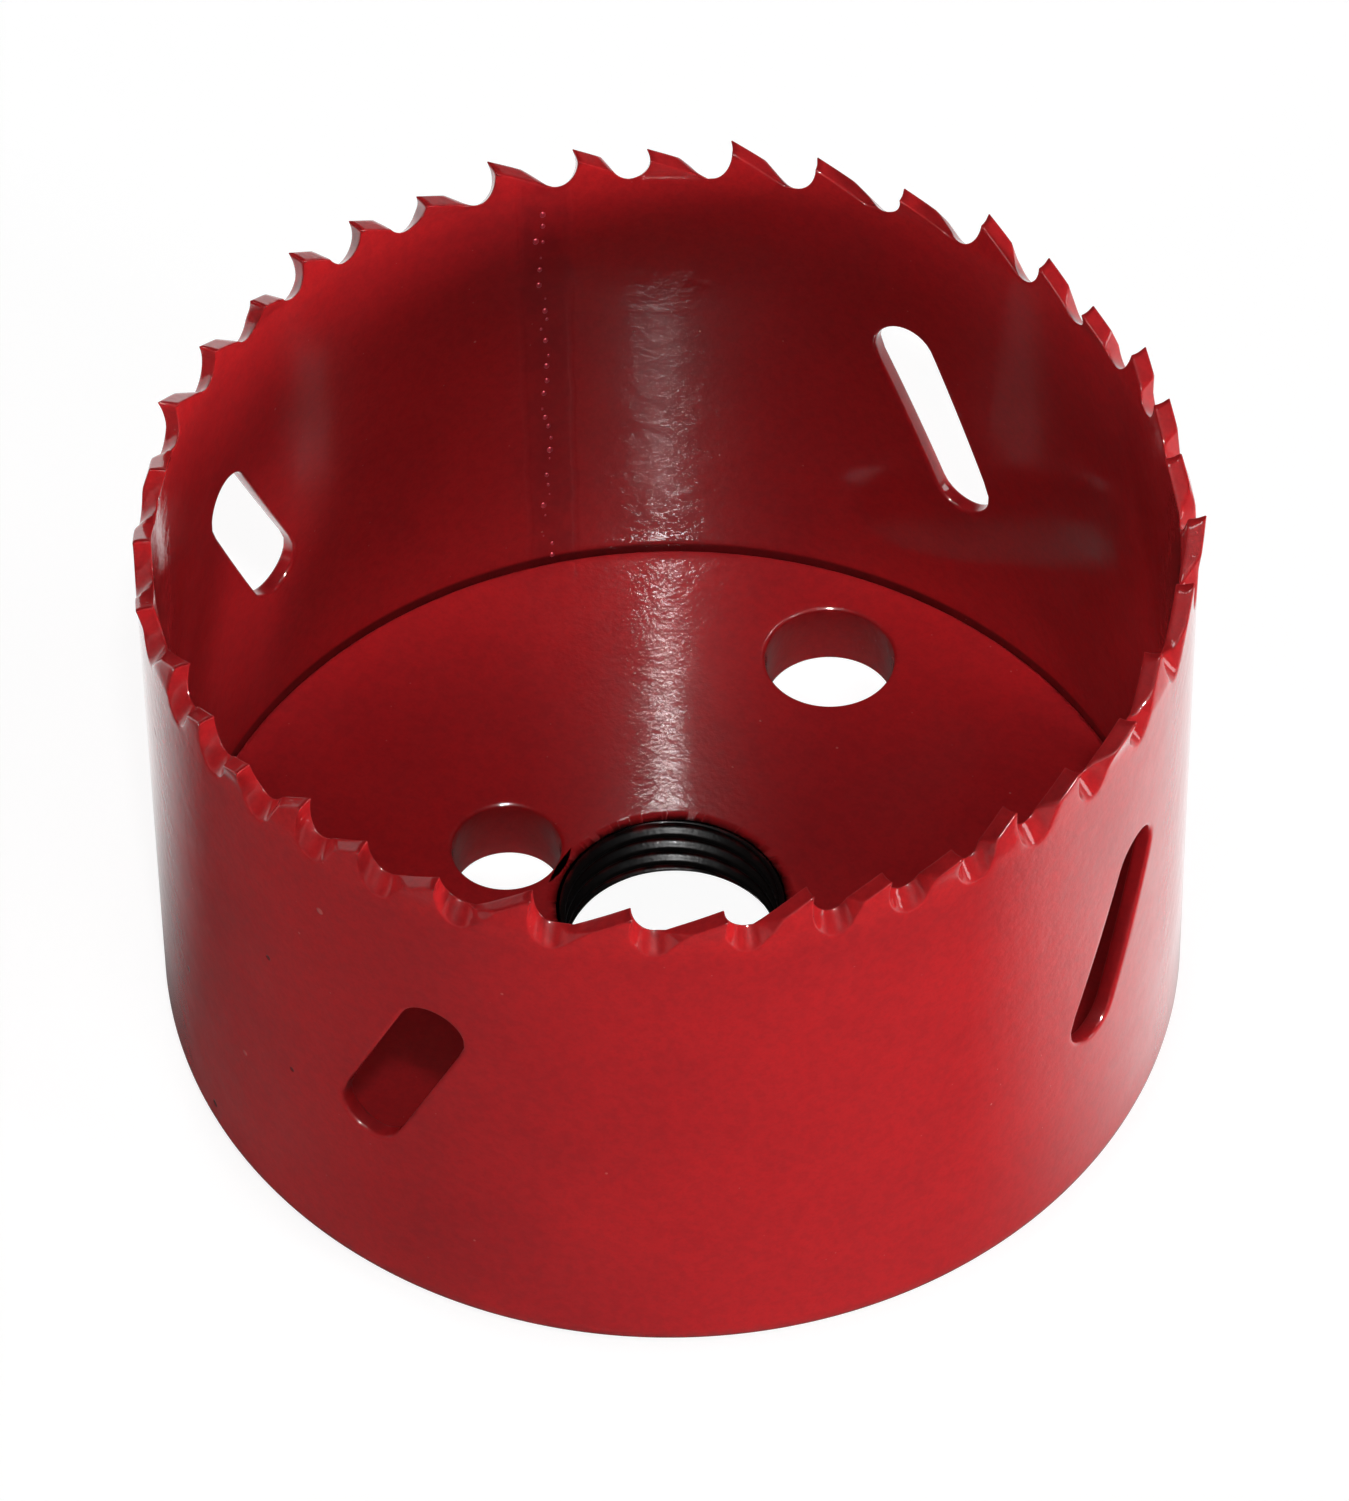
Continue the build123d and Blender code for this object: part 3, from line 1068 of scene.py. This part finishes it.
def wall_enamel(finish, sizes):
    """Enamel on the wall, with the weld down the inside, a few marks outside, painted light on the
    teeth and painted shade at the inside foot.
    """
    work = Enamel("wall_enamel", finish)
    inside = sizes.wall_radius - sizes.wall_thickness
    within = work.ramp(work.radius, inside + 0.0001, inside + 0.0004, 1.0, 0.0)

    # painted light: the teeth shaded a lighter red towards their tips, standing in for the light
    # that falls on them
    work.tint(work.ramp(work.height, 0.0392, 0.0412, 0.0, 0.55), (*finish.enamel_painted_light, 1.0))

    # the butt weld: a darker band between two fine lines
    turned = work.math("SUBTRACT", work.angle, sizes.weld_angle)
    stray = work.math("MULTIPLY", work.math("SUBTRACT", work.noise(0.004), 0.5), 0.0008)
    across = work.math("ADD", work.math("MULTIPLY", turned, inside), stray)
    off = work.math("ABSOLUTE", across)
    band = work.ramp(off, 0.0013, 0.0020, 0.45, 0.0)
    patchy = work.ramp(work.noise(0.0012, 3.0), 0.35, 0.65, 0.4, 1.0)
    band = work.math("MULTIPLY", work.math("MULTIPLY", band, patchy), within)
    work.tint(band, work.deep)
    from_line = work.math("ABSOLUTE", work.math("SUBTRACT", off, 0.0017))
    line = work.math("MULTIPLY", work.ramp(from_line, 0.00008, 0.0003, 1.0, 0.0), within)
    work.lift(line, 0.22)

    # painted shade: a dark line in the inside corner where the wall stands on the plate, standing
    # in for the shade in the groove there
    low, high = PLATE_THICKNESS + 0.0001, PLATE_THICKNESS + 0.0005
    corner = work.ramp(work.height, low, high, 0.8, 0.0)
    work.tint(work.math("MULTIPLY", corner, within), work.black)

    for place in DARK_MARKS:
        work.mark(*place, sizes.wall_radius, work.black, strength=0.8, rise=-1.5)
    for place in PALE_MARKS:
        work.mark(*place, sizes.wall_radius, work.pale, strength=0.6, rise=1.2)
    work.finish_off(swell=0.5, peel=0.42, grit=0.30)
    return work.material


def plate_enamel(finish):
    """Enamel on the plate, blackened at the threaded bore."""
    work = Enamel("plate_enamel", finish)
    stray = work.math("MULTIPLY", work.math("SUBTRACT", work.noise(0.0016, 3.0), 0.5), 0.0007)
    edge = work.math("ADD", work.radius, stray)
    soot = work.ramp(edge, BORE_RADIUS + 0.0003, BORE_RADIUS + 0.0011, 1.0, 0.0)
    work.finish_off(swell=0.5, peel=0.50, grit=0.50)
    work.blacken(soot)
    return work.material


# ---- operators ---------------------------------------------------------------------
class HOLESAW_OT_stage(Operator):
    """Makes the floor, the lamps, the world and the camera"""

    bl_idname = "hole_saw.stage"
    bl_label = "Stage"

    def execute(self, context):
        scene = context.scene
        stage = scene.hole_saw_stage
        half = stage.floor_size / 2
        level = min(PLATE_LOW.z, WALL_LOW.z)
        mesh = bpy.data.meshes.new("floor")
        corners = [(x * half, y * half, level) for x, y in ((-1, -1), (1, -1), (1, 1), (-1, 1))]
        mesh.from_pydata(corners, [], [(0, 1, 2, 3)])
        floor = new_piece("floor", mesh)
        floor.data.materials.append(self.floor_material())
        self.world(scene)
        for lamp in LAMPS:
            self.lamp(scene, *lamp)
        self.camera(scene, stage)
        return {"FINISHED"}

    def floor_material(self):
        """White card: lit and shaded for light, near white wherever it is looked at, and with
        painted light where the saw's gloss shows it.
        """
        material = bpy.data.materials.new("white_card")
        material.use_nodes = True
        work = Tree(material.node_tree)
        work.tree.nodes.clear()
        path = work.node("ShaderNodeLightPath").outputs
        seen = work.math("MAXIMUM", path["Is Camera Ray"], path["Is Transmission Ray"])
        glossy = path["Is Glossy Ray"]
        # painted shade: the card is darker for glossy rays, so the saw's gloss shows a painted dark
        # floor
        whiteness = work.math("SUBTRACT", 0.8, work.math("MULTIPLY", seen, 0.6))
        whiteness = work.math("SUBTRACT", whiteness, work.math("MULTIPLY", glossy, 0.65))
        white = work.node(
            "ShaderNodeCombineColor", Red=whiteness, Green=whiteness, Blue=whiteness
        ).outputs["Color"]
        card = work.node("ShaderNodeBsdfDiffuse", Color=white)

        # painted light: for glossy rays only, the floor glows on one side, a painted pool of light
        # that the saw shows as a painted reflection; the glow stops under the saw, a painted shadow
        place = work.node("ShaderNodeTexCoord").outputs["Object"]
        toward = work.vector_math("DOT_PRODUCT", place, BRIGHT_SIDE)["Value"]
        away = work.vector_math("LENGTH", place)["Value"]
        clear = work.ramp(away, 0.032, 0.037)
        bright = work.math("MULTIPLY", work.ramp(toward, -0.022, 0.008, 0.0, 0.95), clear)
        shine = work.math("MULTIPLY", glossy, bright)
        strength = work.math("ADD", work.math("MULTIPLY", seen, 0.90), shine)
        glow = work.node("ShaderNodeEmission", Color=WHITE, Strength=strength)
        both = work.node("ShaderNodeAddShader", in_0=card.outputs[0], in_1=glow.outputs[0])
        work.node("ShaderNodeOutputMaterial", Surface=both.outputs[0])
        return material

    def world(self, scene):
        """Bright round the horizon and darker overhead; white where it is looked at."""
        world = bpy.data.worlds.new("studio")
        world.use_nodes = True
        scene.world = world
        work = Tree(world.node_tree)
        work.tree.nodes.clear()
        height = work.parts(work.node("ShaderNodeTexCoord").outputs["Generated"])["Z"]
        level = work.ramp(height, 0.02, 0.35, 0.48, 0.03)
        path = work.node("ShaderNodeLightPath").outputs
        strength = work.math("MAXIMUM", level, path["Is Camera Ray"])
        light = work.node("ShaderNodeBackground", Color=WHITE, Strength=strength)
        work.node("ShaderNodeOutputWorld", Surface=light.outputs[0])

    def lamp(self, scene, name, place, width, power, left_out):
        """A round soft lamp that faces the saw."""
        data = bpy.data.lights.new(name, "AREA")
        data.shape = "DISK"
        data.size = width
        data.energy = power
        lamp = bpy.data.objects.new(name, data)
        scene.collection.objects.link(lamp)
        lamp.location = place
        lamp.rotation_mode = "QUATERNION"
        facing = Vector(place) - Vector((0.0, 0.0, 0.02))
        lamp.rotation_quaternion = facing.to_track_quat("Z", "Y")
        if left_out:
            setattr(lamp, left_out, False)

    def camera(self, scene, stage):
        """Stands the camera where the stage says and rolls it."""
        data = bpy.data.cameras.new("camera")
        data.sensor_fit = "AUTO"
        data.sensor_width = 36.0
        data.lens = stage.lens
        data.clip_start = 0.01
        data.clip_end = 20.0
        camera = bpy.data.objects.new("camera", data)
        scene.collection.objects.link(camera)
        place, aim = Vector(stage.camera_place), Vector(stage.camera_aim)
        forward = (aim - place).normalized()
        right = forward.cross(Vector((0, 0, 1))).normalized()
        up = right.cross(forward)
        c, s = cos(stage.camera_roll), sin(stage.camera_roll)
        axes = Matrix((right * c + up * s, up * c - right * s, -forward)).transposed()
        camera.matrix_world = Matrix.Translation(place) @ axes.to_4x4()
        scene.camera = camera


class HOLESAW_OT_wall(Operator):
    """Cuts the toothed strip, rolls it and sets its teeth"""

    bl_idname = "hole_saw.wall"
    bl_label = "Saw Wall"

    def execute(self, context):
        scene = context.scene
        sizes = scene.hole_saw_wall
        strip = new_piece("toothed_wall", strip_mesh(sizes))
        climb = sizes.wall_thickness * tan(sizes.gullet_slant)
        crest = sizes.tip_height - sizes.tooth_height + climb
        values = {
            "Middle Radius": middle_radius(sizes),
            "Weld Angle": sizes.weld_angle,
            "Bend Start": crest + sizes.bend_rise,
            "Tip Height": sizes.tip_height,
            "Set Inward": sizes.set_inward,
            "Set Outward": sizes.set_outward,
            "Material": wall_enamel(scene.hole_saw_finish, sizes),
        }
        bake(strip, roll_tree(), values)
        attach(strip, "root")
        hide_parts("saw_wall")
        return {"FINISHED"}


class HOLESAW_OT_plate(Operator):
    """Makes the back plate with its holes and cuts its arbor thread"""

    bl_idname = "hole_saw.plate"
    bl_label = "Back Plate"

    def execute(self, context):
        scene = context.scene
        sizes = scene.hole_saw_plate
        plate = new_piece("threaded_plate", plate_mesh(scene.hole_saw_wall, sizes))
        values = {
            "Bore Radius": BORE_RADIUS,
            "Pitch": sizes.thread_pitch,
            "Depth": sizes.thread_depth,
            "Bevel": sizes.bore_bevel,
            "Thickness": PLATE_THICKNESS,
            "Material": plate_enamel(scene.hole_saw_finish),
        }
        bake(plate, thread_tree(), values)
        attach(plate, "root")
        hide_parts("back_plate")
        return {"FINISHED"}


class HOLESAW_OT_seam(Operator):
    """Scatters the broken bead of the butt weld down the inside of the wall"""

    bl_idname = "hole_saw.seam"
    bl_label = "Seam Bead"

    def execute(self, context):
        sizes = context.scene.hole_saw_wall
        inside = sizes.wall_radius - sizes.wall_thickness
        along = sizes.weld_angle * inside + 0.0001
        seam = new_piece("seam_bead", bpy.data.meshes.new("seam_bead"))
        values = {
            "Drops": 30,
            "Line Start": (along, 0.0, PLATE_THICKNESS + 0.0006),
            "Line End": (along, 0.0, 0.0395),
            "Spread": 0.0006,
            "Smallest": 0.00006,
            "Largest": 0.00022,
            "Inside Radius": inside,
            "Seed": 7,
            "Material": bpy.data.materials["wall_enamel"],
        }
        bake(seam, bead_tree(), values, even_shading=False)
        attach(seam, "root")
        return {"FINISHED"}


# ---- panel and registration ---------------------------------------------------
class HOLESAW_PT_panel(Panel):
    """Lists the pieces of the hole saw and their sizes"""

    bl_label = "Hole Saw"
    bl_idname = "HOLESAW_PT_panel"
    bl_space_type = "VIEW_3D"
    bl_region_type = "UI"
    bl_category = "Hole Saw"

    def draw(self, context):
        layout = self.layout
        for operator in OPERATORS:
            layout.operator(operator.bl_idname)
        for label, group in GROUPS:
            box = layout.box()
            box.label(text=label)
            holder = getattr(context.scene, group)
            for name in holder.__annotations__:
                box.prop(holder, name)


OPERATORS = (
    HOLESAW_OT_stage,
    HOLESAW_OT_wall,
    HOLESAW_OT_plate,
    HOLESAW_OT_seam,
)

GROUPS = (
    ("Wall", "hole_saw_wall"),
    ("Plate", "hole_saw_plate"),
    ("Finish", "hole_saw_finish"),
    ("Stage", "hole_saw_stage"),
)

CLASSES = (
    HoleSawWallSizes,
    HoleSawPlateSizes,
    HoleSawFinish,
    HoleSawStage,
    *OPERATORS,
    HOLESAW_PT_panel,
)


def register():
    for group in CLASSES:
        bpy.utils.register_class(group)
    bpy.types.Scene.hole_saw_wall = PointerProperty(type=HoleSawWallSizes)
    bpy.types.Scene.hole_saw_plate = PointerProperty(type=HoleSawPlateSizes)
    bpy.types.Scene.hole_saw_finish = PointerProperty(type=HoleSawFinish)
    bpy.types.Scene.hole_saw_stage = PointerProperty(type=HoleSawStage)


def unregister():
    for _, group in GROUPS:
        delattr(bpy.types.Scene, group)
    for group in reversed(CLASSES):
        bpy.utils.unregister_class(group)


def main():
    """Makes every piece in order."""
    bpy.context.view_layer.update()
    register()
    bpy.context.scene.view_settings.view_transform = "Standard"
    bpy.ops.hole_saw.stage()
    bpy.ops.hole_saw.wall()
    bpy.ops.hole_saw.plate()
    bpy.ops.hole_saw.seam()


if __name__ == "__main__":
    main()
